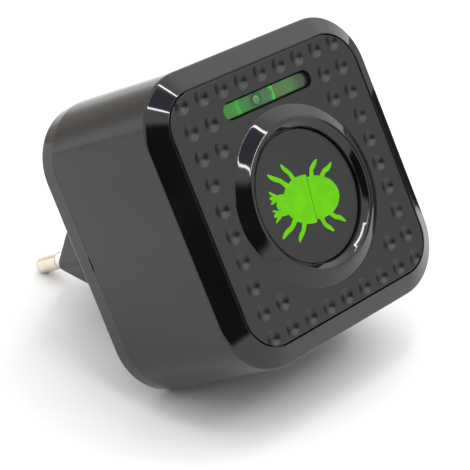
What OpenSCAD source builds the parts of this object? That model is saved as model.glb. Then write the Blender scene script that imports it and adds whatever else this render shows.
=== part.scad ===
// Plug-in ultrasonic pest repeller: a square housing with round corners, carried by its two-pin mains plug.
// +Y points into the wall socket, -Y is the front, +Z is up, and +X is the right-hand side seen from the front.
// The origin is the centre of the plug's end face, which meets the socket.

/* [Housing] */
// Width of the housing at the seam with its rear cover
body_w = 66; // [65:0.5:68]
// Height of the housing at the seam with its rear cover
body_h = 65.6; // [65:0.2:68]
// Corner radius at the seam
body_r = 13.7; // [13:0.1:15]
// Width across the outer edge of the sloping bezel
front_w = 64; // [63:0.5:65]
// Height across the outer edge of the sloping bezel
front_h = 63.2; // [62.4:0.2:64]
// Corner radius of the bezel's outer edge
front_r = 12.9; // [12:0.1:14]
// How far the bezel slopes back from the front
bezel_d = 2.6; // [2:0.1:3]
// Depth of the body from the front to the back of the rear cover
body_d = 38.8; // [38:0.2:44]
// Thickness of the side walls
wall = 2; // [1.6:0.1:2.4]
// Height of the housing's centre above the plug's centre
rise = 0.8; // [0:0.1:2]

/* [Rear cover] */
// Depth of the rear cover behind the seam
cover_d = 5; // [4.6:0.1:6]
// Thickness of the rear cover's floor
cover_floor = 2.4; // [2:0.1:2.6]

/* [Front panel] */
// Width of the panel's seat in the bezel
open_w = 55.1; // [54.8:0.1:56]
// Height of the panel's seat in the bezel
open_h = 54.5; // [54.2:0.1:55.4]
// Corner radius of the panel's seat
open_r = 8.3; // [8:0.1:8.6]
// Thickness of the panel
panel_t = 1.6; // [1.4:0.1:1.8]
// Distance between dimple columns
pitch_x = 5.6; // [5.4:0.05:5.65]
// Distance between dimple rows
pitch_z = 5.5; // [5.3:0.05:5.55]
// Diameter of a dimple
dimple_dia = 3.2; // [2.4:0.1:3.3]
// Depth of a dimple
dimple_d = 0.55; // [0.3:0.05:0.8]

/* [Sounder] */
// Radius of the raised ring where it meets the panel
ring_r = 19.4; // [19:0.1:19.6]
// Radius of the ring's crest
crest_r = 15.7; // [15.5:0.1:16.6]
// Height of the ring's crest above the panel
crest_h = 1.8; // [0.8:0.1:2]
// Radius of the flat disc inside the ring
disc_r = 14.1; // [13.8:0.1:14.3]
// Height of the disc's face above the panel
disc_h = 0; // [0:0.1:0.9]
// How far the ring's centre is below the panel's centre
ring_drop = 2.2; // [2:0.1:2.4]

/* [Light window] */
// Length of the window slot
slot_w = 25.8; // [24:0.1:26]
// Height of the window slot
slot_h = 3.8; // [3.4:0.1:4]
// Height of the window above the panel's centre
slot_z = 20; // [19.8:0.1:20.2]
// How far the window's lens is set back from the panel's face
lens_set = 0.8; // [0.5:0.1:1]

/* [Plug] */
// Length of the plug's body behind the rear cover
plug_d = 30.8; // [29:0.1:36]
// Width of the plug's end face
plug_w = 34.8; // [34:0.1:35.3]
// Height of the plug's end face
plug_h = 13.7; // [13.5:0.1:13.9]
// Distance between the pins
pin_gap = 18.6; // [18:0.1:19.2]
// Diameter of a pin
pin_dia = 4; // [3.9:0.02:4.1]
// Length of a pin
pin_len = 19; // [18.5:0.1:19.5]
// Length of the insulating sleeve on a pin
sleeve_len = 10; // [9:0.1:10]

/* [Hidden] */
$fn = 48;
gap = 0.05;                       // clearance between pieces that touch
thin = 0.01;                      // thickness of the plates that shape a hull
rear_y = -plug_d;                 // back of the rear cover
seam_y = rear_y - cover_d;        // seam between housing and rear cover
face_y = rear_y - body_d;         // front face of the panel
front_t = 3.6;                    // depth of the front wall, ledge included
seat_d = panel_t + 0.1;           // depth of the panel's seat
ledge = 2;                        // width of the ledge behind the panel
panel_gap = 0.25;                 // groove around the panel
post = 23.8;                      // corner screw posts, from the centre each way
post_r = 3.2;
post_bore_r = 1.25;
lip_d = 2.5;                      // how far the cover's lip reaches into the housing
lip_w = body_w - 2 * wall - 0.6;
lip_h = body_h - 2 * wall - 0.6;
lip_r = body_r - wall - 0.3;
lip_t = 1.4;
board_y = face_y + 17;            // front side of the circuit board
board_t = 1.6;
parts_y = board_y + board_t;      // side of the board that carries the tall components
board_post = [27, -8];            // screw posts of the board, left and right
opening_r = 18;                   // round opening in the panel
core_r = pin_dia / 2 - 0.5;       // pin inside its sleeve
sleeve_r = pin_dia / 2 - 0.18;      // the sleeve is slimmer than the bare tip, as the plug standard asks
pin_tail = -20;                   // inner end of the pins
plug_solid = 16;                  // depth of the plug's solid end
flange_t = 2;                     // flange of the plug, inside the rear cover
flare_d = 9;                      // length of the plug's flared foot
led_x = -4.5;
wire_r = 0.8;
corners = [for (sx = [-1, 1], sz = [-1, 1]) [sx * post, sz * post]];

gloss_black = "#1c1c1e";
satin_black = "#2b2b2e";
plug_black = "#242528";
screw_steel = "#b9bcc0";
lead_tin = "#c9ccd0";

// ---- shapes used by several pieces ----

// Moves a piece from the plug's centre height to the housing's centre height
module raised() translate([0, 0, rise]) children();

// A flat outline, drawn with x to the right and y up, made solid from y1 to y2
module slab(y1, y2) translate([0, y2, 0]) rotate([90, 0, 0]) linear_extrude(y2 - y1) children();

// A thin rounded plate at y, which a hull joins to the next one
module plate(y, w, h, r) slab(y, y + thin) round_rect(w, h, r);

// A round bar along Y
module rod(x, z, y1, y2, r) translate([x, y2, z]) rotate([90, 0, 0]) cylinder(h = y2 - y1, r = r);

// A profile of [radius, y] points, turned about a line along Y
module turned(x = 0, z = 0, points = []) translate([x, 0, z]) rotate([-90, 0, 0]) rotate_extrude() polygon(points);

module round_rect(w, h, r) {
    square([w - 2 * r, h], center = true);
    square([w, h - 2 * r], center = true);
    for (sx = [-1, 1], sy = [-1, 1]) translate([sx * (w / 2 - r), sy * (h / 2 - r)]) circle(r);
}

// A slot outline with half-round ends
module obround(w, h) {
    square([w - h, h], center = true);
    for (s = [-1, 1]) translate([s * (w - h) / 2, 0]) circle(h / 2);
}

// The plug's six-sided outline: flat top and bottom, sloping ends and a short upright at each side
module plug_outline(w, h) {
    side = 0.7;
    run = (h / 2 - side) * 0.93;
    polygon([[w / 2, -side], [w / 2, side], [w / 2 - run, h / 2], [run - w / 2, h / 2],
        [-w / 2, side], [-w / 2, -side], [run - w / 2, -h / 2], [w / 2 - run, -h / 2]]);
}

// A pan-head screw whose head rests on y and whose shank points to -Y
module pan_screw(x, z, y, head_r, shank_r, length) {
    head_h = head_r * 0.6;
    difference() {
        turned(x, z, [[0, y - length], [shank_r * 0.6, y - length], [shank_r, y - length + 1], [shank_r, y],
            [head_r, y], [head_r, y + head_h * 0.5], [head_r * 0.7, y + head_h], [0, y + head_h]]);
        for (a = [0, 90]) translate([x, y + head_h, z]) rotate([0, a, 0])
            cube([head_r * 1.1, head_h, head_r * 0.28], center = true);
    }
}

// A straight lead from the board up to y
module lead(x, z, y, r = 0.3) rod(x, z, board_y - 0.6, y, r);

// A smooth curve through hand-placed points, as a list of points
function blend4(a, b, c, d, t) = 0.5 * (2 * b + (c - a) * t + (2 * a - 5 * b + 4 * c - d) * t * t
    + (3 * b - a - 3 * c + d) * t * t * t);
function smooth_route(p, steps) = [for (i = [0 : len(p) - 2], k = [0 : steps - 1])
    blend4(p[max(i - 1, 0)], p[i], p[i + 1], p[min(i + 2, len(p) - 1)], k / steps), p[len(p) - 1]];
function unit(v) = v / norm(v);
function tangent(p, i) = unit(p[min(i + 1, len(p) - 1)] - p[max(i - 1, 0)]);
function ring_at(p, i, r, sides) = let (t = tangent(p, i), u = unit(cross(t, [1, 0, 0])), v = cross(t, u))
    [for (k = [0 : sides - 1]) p[i] + r * (cos(360 * k / sides) * u + sin(360 * k / sides) * v)];

// A wire of round section along a smooth route. The route never runs along X.
module wire(points, r, steps = 5) {
    sides = 8;
    route = smooth_route(points, steps);
    last = len(route) - 1;
    polyhedron(
        points = [for (i = [0 : last]) each ring_at(route, i, r, sides)],
        faces = [[for (k = [0 : sides - 1]) k],
            [for (k = [sides - 1 : -1 : 0]) last * sides + k],
            for (i = [0 : last - 1], k = [0 : sides - 1]) let (n = (k + 1) % sides)
                [i * sides + k, (i + 1) * sides + k, (i + 1) * sides + n, i * sides + n]]);
}

// ---- casing ----

module housing() color(gloss_black) raised() difference() {
    union() {
        difference() {
            hull() {
                plate(face_y, open_w, open_h, open_r);
                plate(face_y + bezel_d, front_w, front_h, front_r);
                plate(seam_y - thin, body_w, body_h, body_r);
            }
            hull() {
                plate(face_y + front_t, front_w - 2 * wall, front_h - 2 * wall, front_r - wall);
                plate(seam_y, body_w - 2 * wall, body_h - 2 * wall, body_r - wall);
            }
        }
        for (p = corners) rod(p.x, p.y, face_y + front_t - 0.5, seam_y, post_r);
        for (s = [-1, 1]) rod(s * board_post.x, board_post.y, face_y + front_t - 0.5, board_y - gap, 2.9);
    }
    slab(face_y - 1, face_y + seat_d) round_rect(open_w, open_h, open_r);
    slab(face_y, face_y + front_t + thin)
        round_rect(open_w - 2 * ledge, open_h - 2 * ledge, open_r - ledge);
    for (p = corners) rod(p.x, p.y, seam_y - 14, seam_y + 1, post_bore_r);
    for (s = [-1, 1]) rod(s * board_post.x, board_post.y, board_y - 9, board_y + 1, 1.05);
}

module rear_cover() color(gloss_black) raised() difference() {
    union() {
        difference() {
            hull() {
                plate(seam_y + gap, body_w - 0.2, body_h - 0.2, body_r - 0.1);
                plate(rear_y - 1, body_w - 1, body_h - 1, body_r - 0.5);
                plate(rear_y - thin, body_w - 2.8, body_h - 2.8, body_r - 1.4);
            }
            slab(seam_y - 1, rear_y - cover_floor) round_rect(lip_w - 2 * lip_t, lip_h - 2 * lip_t, lip_r - lip_t);
        }
        slab(seam_y - lip_d, seam_y + 1) difference() {
            round_rect(lip_w, lip_h, lip_r);
            round_rect(lip_w - 2 * lip_t, lip_h - 2 * lip_t, lip_r - lip_t);
        }
        for (p = corners) rod(p.x, p.y, seam_y + gap, rear_y - 1, post_r);
    }
    for (p = corners) {
        rod(p.x, p.y, seam_y - 1, rear_y, 1.6);
        rod(p.x, p.y, rear_y - 2.8, rear_y + 1, 2.9);
    }
    translate([0, 0, -rise]) slab(seam_y, rear_y + 1) plug_outline(plug_w + 5, plug_h + 5);
    translate([-body_w / 2, seam_y + gap + 0.3, 0.5]) cube([1.4, 0.8, 3.1], center = true);
}

module front_panel() color(satin_black) raised() {
    cup_r = (pow(dimple_dia / 2, 2) + pow(dimple_d, 2)) / (2 * dimple_d);
    difference() {
        slab(face_y, face_y + panel_t)
            round_rect(open_w - 2 * panel_gap, open_h - 2 * panel_gap, open_r - panel_gap);
        for (i = [-4 : 4], j = [0 : 9]) {
            edge = abs(i) == 4 || j == 0 || j == 9;
            inner = abs(i) == 3 && (j == 1 || j == 2 || j == 8);
            if (edge || inner) translate([i * pitch_x, face_y - cup_r + dimple_d, (4.5 - j) * pitch_z])
                sphere(cup_r);
        }
        translate([0, 0, slot_z]) slab(face_y - 1, face_y + panel_t + 1) obround(slot_w, slot_h);
        rod(0, -ring_drop, face_y - 1, face_y + panel_t + 1, opening_r);
    }
}

// ---- sounder at the front ----

module speaker_ring() color(gloss_black) raised() turned(0, -ring_drop, [
    [ring_r, face_y], [ring_r - 0.5, face_y - 0.45], [crest_r + 1, face_y - crest_h + 0.2],
    [crest_r, face_y - crest_h], [crest_r - 0.5, face_y - crest_h + 0.1], [disc_r + 0.1, face_y - disc_h + 0.25],
    [disc_r + 0.1, face_y + 0.9], [disc_r - 0.9, face_y + 0.9], [disc_r - 0.9, face_y + panel_t],
    [opening_r - 0.1, face_y + panel_t], [opening_r - 0.1, face_y]]);

module centre_disc() color(satin_black) raised() turned(0, -ring_drop, [
    [0, face_y - disc_h], [disc_r - 0.2, face_y - disc_h], [disc_r, face_y - disc_h + 0.2],
    [disc_r, face_y + 0.85], [0, face_y + 0.85]]);

// A printed mite, seen from above and facing left: two body halves, eight jointed legs and two mouthparts
module mite_icon() color("#5ad200") raised() translate([0, 0, -ring_drop])
    slab(face_y - disc_h - 0.06, face_y - disc_h) translate([-1, -0.6]) rotate(-10) {
        intersection() {
            translate([2.6, 0]) oval(6.6, 6);
            translate([1.9, -7]) square([9, 14]);
        }
        intersection() {
            translate([0.6, 0]) oval(7, 5.4);
            translate([-8.4, -7]) square([10, 14]);
        }
        for (s = [-1, 1]) {
            bar([-5.8, s * 1.3], [-9.6, s * 1.7], 1, 0.5);
            for (leg = mite_legs) {
                bar([leg[0], s * leg[3]], [leg[1], s * 6.6], 0.75, 0.6);
                bar([leg[1], s * 6.6], [leg[2], s * leg[4]], 0.6, 0.35);
            }
        }
    }

// Each leg of the mite: hip, knee and foot along the body, then how far out its hip and its foot are
mite_legs = [[-4.2, -6.4, -8.8, 3.4, 7.3], [-2, -3.4, -4.6, 4.4, 8.2], [2.4, 3.4, 5, 5, 8.2], [5.2, 7, 9.4, 4.2, 7.3]];

module oval(a, b) polygon([for (k = [0 : 59]) [a * cos(6 * k), b * sin(6 * k)]]);

// A tapering bar with round ends, from p to q
module bar(p, q, r1, r2) {
    side = [q.y - p.y, p.x - q.x] / norm(q - p);
    polygon([p + r1 * side, q + r2 * side, q - r2 * side, p - r1 * side]);
    translate(p) circle(r1, $fn = 24);
    translate(q) circle(r2, $fn = 24);
}

module foam_gasket() color("#3a3a3c") raised() turned(0, -ring_drop, [
    [9.6, face_y + 0.9], [disc_r - 1, face_y + 0.9], [disc_r - 1, face_y + 1.85], [9.6, face_y + 1.85]]);

module piezo_plate() color("#c9a24b") raised() rod(0, -ring_drop, face_y + 1.9, face_y + 2.2, disc_r - 1.1);

module piezo_ceramic() color("#e8e4da") raised() rod(0, -ring_drop, face_y + 2.2, face_y + 2.45, 9.5);

module sounder_holder() color("#e6e5df") raised() turned(0, -ring_drop, [
    [disc_r - 0.95, face_y + panel_t + gap], [17.2, face_y + panel_t + gap], [17.2, face_y + 3], [15.2, face_y + 3],
    [15.2, face_y + 6], [11.5, face_y + 6], [11.5, face_y + 2.25], [disc_r - 0.95, face_y + 2.25]]);

module piezo_wires() color("#b3262a") raised() {
    start_y = face_y + 2.5;
    for (s = [-1, 1]) wire([[s * 4 - 1, start_y, -4.6], [s * 4 - 1, start_y + 3, -5], [s * 4 - 1.5, start_y + 6, -8],
        [s * 4.5 - 2, board_y - 5, -11], [s * 4.5 - 2, board_y - 2.5, -12], [s * 4.5 - 2, board_y, -12]], 0.45);
}

// ---- indicator light ----

module light_window() color([0.25, 0.75, 0.25, 0.7]) raised() translate([0, 0, slot_z]) {
    slab(face_y + lens_set, face_y + panel_t + 0.3) obround(slot_w - 0.3, slot_h - 0.3);
    slab(face_y + panel_t + gap, face_y + panel_t + 0.85) obround(slot_w + 2.8, slot_h + 2.4);
}

module light_shroud() color(satin_black) raised() translate([0, 0, slot_z]) difference() {
    slab(face_y + panel_t + 0.9, face_y + 9.5) obround(slot_w + 3, slot_h + 3.2);
    slab(face_y + panel_t, face_y + 8.5) obround(slot_w + 0.4, slot_h + 0.8);
    rod(led_x, 0, face_y + 8, face_y + 10, 2.55);
}

module indicator_led() raised() translate([led_x, 0, slot_z]) {
    color([0.5, 0.9, 0.5, 0.8]) {
        difference() {
            translate([0, face_y + 6.6, 0]) sphere(2.2);
            rod(0, 0, face_y + 6.6, face_y + 10, 3);
        }
        rod(0, 0, face_y + 6.6, face_y + 10.7, 2.2);
        rod(0, 0, face_y + 10.7, face_y + 11.7, 2.8);
    }
    color(lead_tin) for (s = [-1, 1]) translate([s * 1.27, (face_y + 11 + parts_y + 0.8) / 2, 0])
        cube([0.5, parts_y + 0.8 - face_y - 11, 0.5], center = true);
}

// ---- circuit board ----

module main_board() color("#9a7a3c") raised() difference() {
    slab(board_y, parts_y) difference() {
        round_rect(58, 57, 10);
        for (p = corners) translate(p) circle(3.9);
    }
    for (s = [-1, 1]) {
        rod(s * board_post.x, board_post.y, board_y - 1, parts_y + 1, 1.25);
        translate([led_x + s * 1.27, parts_y, slot_z]) cube([0.7, 5, 0.7], center = true);
    }
    for (p = lead_places) rod(p.x, p.y, board_y - 1, parts_y + 1, 0.45);
}

module solder_joints() color(lead_tin) raised() for (p = lead_places) difference() {
    translate([p.x, board_y - gap, p.y]) rotate([90, 0, 0]) cylinder(h = 0.8, r1 = 1, r2 = 0.4);
    rod(p.x, p.y, board_y - 2, board_y + 1, 0.32);
}

module board_screws() color(screw_steel) raised() for (s = [-1, 1])
    pan_screw(s * board_post.x, board_post.y, parts_y + gap, 2, 1, 7);

// Where each component stands on the board, and where its leads go through
film_at = [-13.5, 15];
film_pitch = 12.5;
can_at = [6, 14];
bridge_at = [-17, 1];
chip_at = [13, -2];
coil_at = [-4, 0];
varistor_at = [-19, -10];
resistor_xs = [14, 17.5, 21];
resistor_z = [-10, -19];
diode_xs = [-13, -10];
transistor_zs = [5, 11];
lead_places = concat(
    [for (s = [-1, 1]) film_at + [s * film_pitch / 2, 0]],
    [for (s = [-1, 1]) can_at + [s * 1.75, 0]],
    [for (sx = [-1, 1], sz = [-1, 1]) bridge_at + [sx * 2.55, sz * 3.8]],
    [for (sx = [-1, 1], k = [0 : 3]) chip_at + [sx * 3.8, (k - 1.5) * 2.54]],
    [for (s = [-1, 1]) coil_at + [s * 2.5, 0]],
    [for (s = [-1, 1]) varistor_at + [s * 2.5, 0]],
    [for (x = resistor_xs, z = resistor_z) [x, z]],
    [for (x = diode_xs, z = [-10, -18]) [x, z]],
    [for (z = transistor_zs, k = [-1 : 1]) [21.5, z + k * 1.27 * 1.4]]);

module film_capacitor() raised() {
    color("#c9a227") translate([film_at.x, parts_y + 5.8, film_at.y]) cube([15, 11, 6.5], center = true);
    color(lead_tin) for (s = [-1, 1]) lead(film_at.x + s * film_pitch / 2, film_at.y, parts_y + 1);
}

module electrolytic_capacitor() raised() {
    color("#20242c") turned(can_at.x, can_at.y, [[0, parts_y + 0.3], [3.7, parts_y + 0.3], [4, parts_y + 0.7],
        [4, parts_y + 1.2], [3.8, parts_y + 1.5], [4, parts_y + 1.8], [4, parts_y + 11.7], [3.8, parts_y + 12],
        [3.2, parts_y + 12], [3.1, parts_y + 11.8], [0, parts_y + 11.8]]);
    color(lead_tin) for (s = [-1, 1]) lead(can_at.x + s * 1.75, can_at.y, parts_y + 1);
}

module bridge_rectifier() raised() {
    color("#1f1f20") translate([bridge_at.x, parts_y + 2.1, bridge_at.y]) cube([6.4, 3.3, 8.3], center = true);
    color(lead_tin) for (sx = [-1, 1], sz = [-1, 1]) lead(bridge_at.x + sx * 2.55, bridge_at.y + sz * 3.8, parts_y + 1);
}

module controller_ic() raised() {
    color("#1a1a1b") difference() {
        translate([chip_at.x, parts_y + 2.3, chip_at.y]) cube([6.3, 3.4, 9.6], center = true);
        rod(chip_at.x, chip_at.y + 4.8, parts_y + 3.6, parts_y + 5, 0.8);
    }
    color(lead_tin) for (s = [-1, 1], k = [0 : 3]) {
        z = chip_at.y + (k - 1.5) * 2.54;
        lead(chip_at.x + s * 3.8, z, parts_y + 2.4, 0.28);
        translate([chip_at.x + s * 3.5, parts_y + 2.2, z]) cube([1.2, 0.4, 1.1], center = true);
    }
}

module coil_core() color("#3b3b3d") raised() {
    turned(coil_at.x, coil_at.y, [[0, parts_y + 0.2], [4.8, parts_y + 0.2], [4.8, parts_y + 1.4], [2.2, parts_y + 1.4],
        [2.2, parts_y + 9.8], [4.8, parts_y + 9.8], [4.8, parts_y + 11], [0, parts_y + 11]]);
    color(lead_tin) for (s = [-1, 1]) lead(coil_at.x + s * 2.5, coil_at.y, parts_y + 1);
}

// Copper turns side by side between the core's two flanges
module coil_winding() color("#b4602a") raised() turned(coil_at.x, coil_at.y, concat(
    [[2.25, parts_y + 1.45], [4, parts_y + 1.45]],
    [for (k = [0 : 53]) [4.1 + 0.18 * abs(sin(30 * k)), parts_y + 1.6 + k * 0.15]],
    [[4, parts_y + 9.75], [2.25, parts_y + 9.75]]));

module varistor() raised() {
    color("#2f5fa8") translate([varistor_at.x, parts_y + 6.3, varistor_at.y]) {
        cylinder(h = 3.2, r = 5, center = true);
        translate([0, -3.6, 0]) cube([7, 3, 3.2], center = true);
    }
    color(lead_tin) for (s = [-1, 1]) lead(varistor_at.x + s * 2.5, varistor_at.y, parts_y + 2);
}

// An axial component lying along Z between two of the board's holes
module axial(x, z1, z2, y, body_len, body_r, end_r, lead_r, tint) {
    middle = (z1 + z2) / 2;
    color(tint) translate([x, y, middle]) {
        cylinder(h = body_len, r = body_r, center = true);
        for (s = [-1, 1]) translate([0, 0, s * (body_len / 2 - 0.8)]) cylinder(h = 1.6, r = end_r, center = true);
    }
    color(lead_tin) {
        translate([x, y, middle]) cylinder(h = abs(z1 - z2), r = lead_r, center = true);
        for (z = [z1, z2]) {
            lead(x, z, y, lead_r);
            translate([x, y, z]) sphere(lead_r);
        }
    }
}

module resistors() raised() for (x = resistor_xs)
    axial(x, resistor_z[0], resistor_z[1], parts_y + 1.5, 6, 0.95, 1.15, 0.3, "#cdb48c");

module diodes() raised() for (x = diode_xs) axial(x, -10, -18, parts_y + 1.6, 5.2, 1.35, 1.36, 0.3, "#222224");

module transistors() raised() for (z = transistor_zs) {
    color("#1d1d1e") difference() {
        rod(21.5, z, parts_y + 3, parts_y + 7.6, 2.3);
        translate([23.9, parts_y + 5, z]) cube([2.4, 8, 6], center = true);
    }
    color(lead_tin) for (k = [-1 : 1]) lead(21.5, z + k * 1.27 * 1.4, parts_y + 3.5, 0.25);
}

// ---- mains plug ----

module plug_insert() color(plug_black) difference() {
    union() {
        slab(rear_y, 0) plug_outline(plug_w, plug_h);
        hull() {
            slab(rear_y, rear_y + 2) plug_outline(plug_w + 4.6, plug_h + 4.6);
            slab(rear_y + flare_d, rear_y + flare_d + thin) plug_outline(plug_w, plug_h);
        }
        slab(rear_y - cover_floor - flange_t, rear_y + 1) plug_outline(plug_w + 4.6, plug_h + 4.6);
        slab(rear_y - cover_floor - flange_t, rear_y - cover_floor - gap) round_rect(44, 23, 3);
    }
    slab(seam_y - 5, -plug_solid) plug_outline(plug_w - 4, plug_h - 4);
    for (s = [-1, 1]) {
        rod(s * pin_gap / 2, 0, -plug_solid - 1, 1, core_r + 0.02);
        rod(s * pin_gap / 2, 0, -3, 1, sleeve_r + 0.02);
    }
}

module pin(x) color("#d8cdb2") turned(x, 0, [[0, pin_tail], [core_r, pin_tail], [core_r, sleeve_len],
    [pin_dia / 2, sleeve_len], [pin_dia / 2, pin_len - 1.2], [pin_dia / 2 - 0.3, pin_len - 0.5],
    [pin_dia / 2 - 0.8, pin_len], [0, pin_len]]);

module sleeve(x) color("#ece9e0") turned(x, 0, [[core_r + 0.02, -2.95], [sleeve_r, -2.95],
    [sleeve_r, sleeve_len - gap], [core_r + 0.02, sleeve_len - gap]]);

module left_pin() pin(-pin_gap / 2);

module right_pin() pin(pin_gap / 2);

module left_sleeve() sleeve(-pin_gap / 2);

module right_sleeve() sleeve(pin_gap / 2);

// A mains wire from the tail of a pin, over the components and down to its pad at the board's lower edge
module mains_wire(s) raised() wire([[s * pin_gap / 2, pin_tail - gap, -rise], [s * pin_gap / 2, -26, -rise],
    [s * 9.6, seam_y, -1], [s * 10, seam_y - 3, -6], [s * 9, seam_y - 5, -15], [s * 8, seam_y - 9, -22],
    [s * 8, parts_y + 3, -24], [s * 8, parts_y + gap, -24]], wire_r);

module live_wire() color("#6b4424") mains_wire(-1);

module neutral_wire() color("#2f66b5") mains_wire(1);

// ---- fixings ----

module cover_screws() color(screw_steel) raised() for (p = corners)
    pan_screw(p.x, p.y, rear_y - 2.75, 2.6, 1.2, 12);

module rating_label() color("#8d9094") raised() translate([0, 0, -22])
    slab(rear_y + thin, rear_y + 0.1) round_rect(34, 9, 1.2);

housing();
rear_cover();
front_panel();
speaker_ring();
centre_disc();
mite_icon();
light_window();
light_shroud();
indicator_led();
sounder_holder();
foam_gasket();
piezo_plate();
piezo_ceramic();
piezo_wires();
main_board();
solder_joints();
board_screws();
film_capacitor();
electrolytic_capacitor();
bridge_rectifier();
controller_ic();
coil_core();
coil_winding();
varistor();
resistors();
diodes();
transistors();
plug_insert();
left_pin();
right_pin();
left_sleeve();
right_sleeve();
live_wire();
neutral_wire();
cover_screws();
rating_label();
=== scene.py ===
import math
import bmesh
import bpy
from mathutils import Matrix, Vector


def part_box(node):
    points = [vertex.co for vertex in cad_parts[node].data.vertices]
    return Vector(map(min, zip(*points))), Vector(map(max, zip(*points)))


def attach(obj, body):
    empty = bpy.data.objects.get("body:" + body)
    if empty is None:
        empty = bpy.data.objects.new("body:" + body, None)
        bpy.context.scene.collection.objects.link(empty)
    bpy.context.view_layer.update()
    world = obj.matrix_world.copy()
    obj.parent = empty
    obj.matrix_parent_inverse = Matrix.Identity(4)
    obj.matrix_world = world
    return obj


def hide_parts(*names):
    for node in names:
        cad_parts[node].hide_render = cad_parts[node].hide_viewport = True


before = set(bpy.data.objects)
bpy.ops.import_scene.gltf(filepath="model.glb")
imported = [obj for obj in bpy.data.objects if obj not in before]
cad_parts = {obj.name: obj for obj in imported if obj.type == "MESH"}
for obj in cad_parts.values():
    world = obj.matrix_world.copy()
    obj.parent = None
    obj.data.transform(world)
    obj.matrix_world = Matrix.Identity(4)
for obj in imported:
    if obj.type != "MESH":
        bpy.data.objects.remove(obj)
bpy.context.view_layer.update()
print("stage: frame loaded")

mm = 0.001


# Middle of a CAD node's box along an axis: 0 is X and 2 is Z
def middle(node, axis):
    low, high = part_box(node)
    return (low[axis] + high[axis]) / 2


coverLow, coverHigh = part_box("rear_cover")
pinLow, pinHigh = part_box("left_pin")
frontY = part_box("housing")[0].y    # face of the front panel and of the bezel
middleZ = middle("housing", 2)
ringZ = middle("speaker_ring", 2)
slotZ = middle("light_window", 2)
ledX = middle("indicator_led", 0)
pinX = middle("left_pin", 0)
rightPinX = middle("right_pin", 0)
labelZ = middle("rating_label", 2)

cameraSet = {"lens": 131.7, "sensor": 36, "azimuth": 46.1, "elevation": 29.3, "distance": 339.9,
             "aim": (-21.8, 0.0, -2.7)}

# The repeller lies on a table, on the rear cover's lower edge and the tips of its pins. In mm: how far the
# points that touch are from the ends of the pins, from the cover's back and from its lowest line
standing = {"pinEnd": 1.2, "coverBack": 1.0, "coverLow": 0.5, "gap": 0.05}
contactBack = Vector((0, pinHigh.y - standing["pinEnd"] * mm, pinLow.z))
contactFront = Vector((0, coverHigh.y - standing["coverBack"] * mm, coverLow.z + standing["coverLow"] * mm))
tableBack = (contactBack - contactFront).normalized()
tableUp = Vector((1, 0, 0)).cross(tableBack)


# A direction over the table: azimuth from straight in front towards the right, and elevation, in degrees
def tableDirection(azimuth, elevation):
    a = math.radians(azimuth)
    e = math.radians(elevation)
    level = Vector((math.sin(a), 0, 0)) - math.cos(a) * tableBack
    return math.cos(e) * level + math.sin(e) * tableUp


# A matrix that puts local Z along towards, with local Y as near to upward as it can be
def facing(place, towards, upward):
    side = upward.cross(towards).normalized()
    upright = towards.cross(side)
    return Matrix.Translation(place) @ Matrix((side, upright, towards)).transposed().to_4x4()


towardsCamera = tableDirection(-cameraSet["azimuth"], cameraSet["elevation"])
aimPoint = Vector((0, frontY, middleZ)) + Vector(cameraSet["aim"]) * mm
cameraData = bpy.data.cameras.new("productCamera")
cameraData.lens = cameraSet["lens"]
cameraData.sensor_width = cameraSet["sensor"]
cameraData.clip_start = 0.01
cameraObject = bpy.data.objects.new("productCamera", cameraData)
bpy.context.scene.collection.objects.link(cameraObject)
cameraPlace = aimPoint + towardsCamera * cameraSet["distance"] * mm
cameraObject.matrix_world = facing(cameraPlace, towardsCamera, tableUp)
bpy.context.scene.camera = cameraObject
bpy.context.scene.view_settings.view_transform = "Standard"
print("stage: camera placed")


# Hex sRGB to linear RGBA
def toLinear(hexColour):
    parts = [int(hexColour[i:i + 2], 16) / 255 for i in (1, 3, 5)]
    return tuple(c / 12.92 if c <= 0.04045 else ((c + 0.055) / 1.055) ** 2.4 for c in parts) + (1.0,)


# Adds a node. Values are settings; inputs are numbers, sockets, or nodes whose first output is linked
def addNode(tree, kind, values=None, inputs=None):
    node = tree.nodes.new("ShaderNode" + kind)
    for key, value in (values or {}).items():
        setattr(node, key, value)
    for key, value in (inputs or {}).items():
        if isinstance(value, bpy.types.Node):
            value = value.outputs[0]
        if isinstance(value, bpy.types.NodeSocket):
            tree.links.new(value, node.inputs[key])
        else:
            node.inputs[key].default_value = value
    return node


# An empty material tree and its object coordinates
def newTree(name):
    material = bpy.data.materials.new(name)
    material.use_nodes = True
    material.node_tree.nodes.clear()
    return material, addNode(material.node_tree, "TexCoord").outputs["Object"]


# The studio is an even white room. Zones change its light by direction: azimuth, elevation, inner and outer
# half-angle, brightness and tint
studio = {
    "brightness": 1.35,
    "zones": [
        (92, 46, 8, 24, 1.8, "#ffffff"),       # a brighter wall to the right
        (178, 4, 8, 26, 0.8, "#f2ece6"),       # a dim far wall behind the plug
        (68, 4, 15, 24, 0.36, "#e4e2e6"),      # a dim doorway to the right
        (-30, 25, 22, 31, 0.08, "#dfe3ea"),    # the dark side of the room, around the camera
        (-62, 10, 18, 26, 0.08, "#dfe3ea"),
        (-5, 29, 13, 22, 0.09, "#dfe3ea"),
        (24, 67, 12, 15, 1.2, "#b0b4cc"),      # the bluish middle of the overhead frame light
    ],
    "frame": {"azimuth": 24, "elevation": 67, "turn": 28.6, "distance": 1500, "across": 380, "along": 440,
              "strip": 50, "radiance": 20},
    # upright cards that only reflections see: azimuth, distance, width, height and tone
    "cards": [
        (76, 150, 150, 64, "#8c8a8c"),
        (98, 140, 46, 34, "#303032"),
    ],
    # white sheet: side, size of its faint mottling, and tones
    "table": {"side": 6000, "mottle": 40, "tones": ("#f0f0f0", "#f6f6f6")},
}

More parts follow.
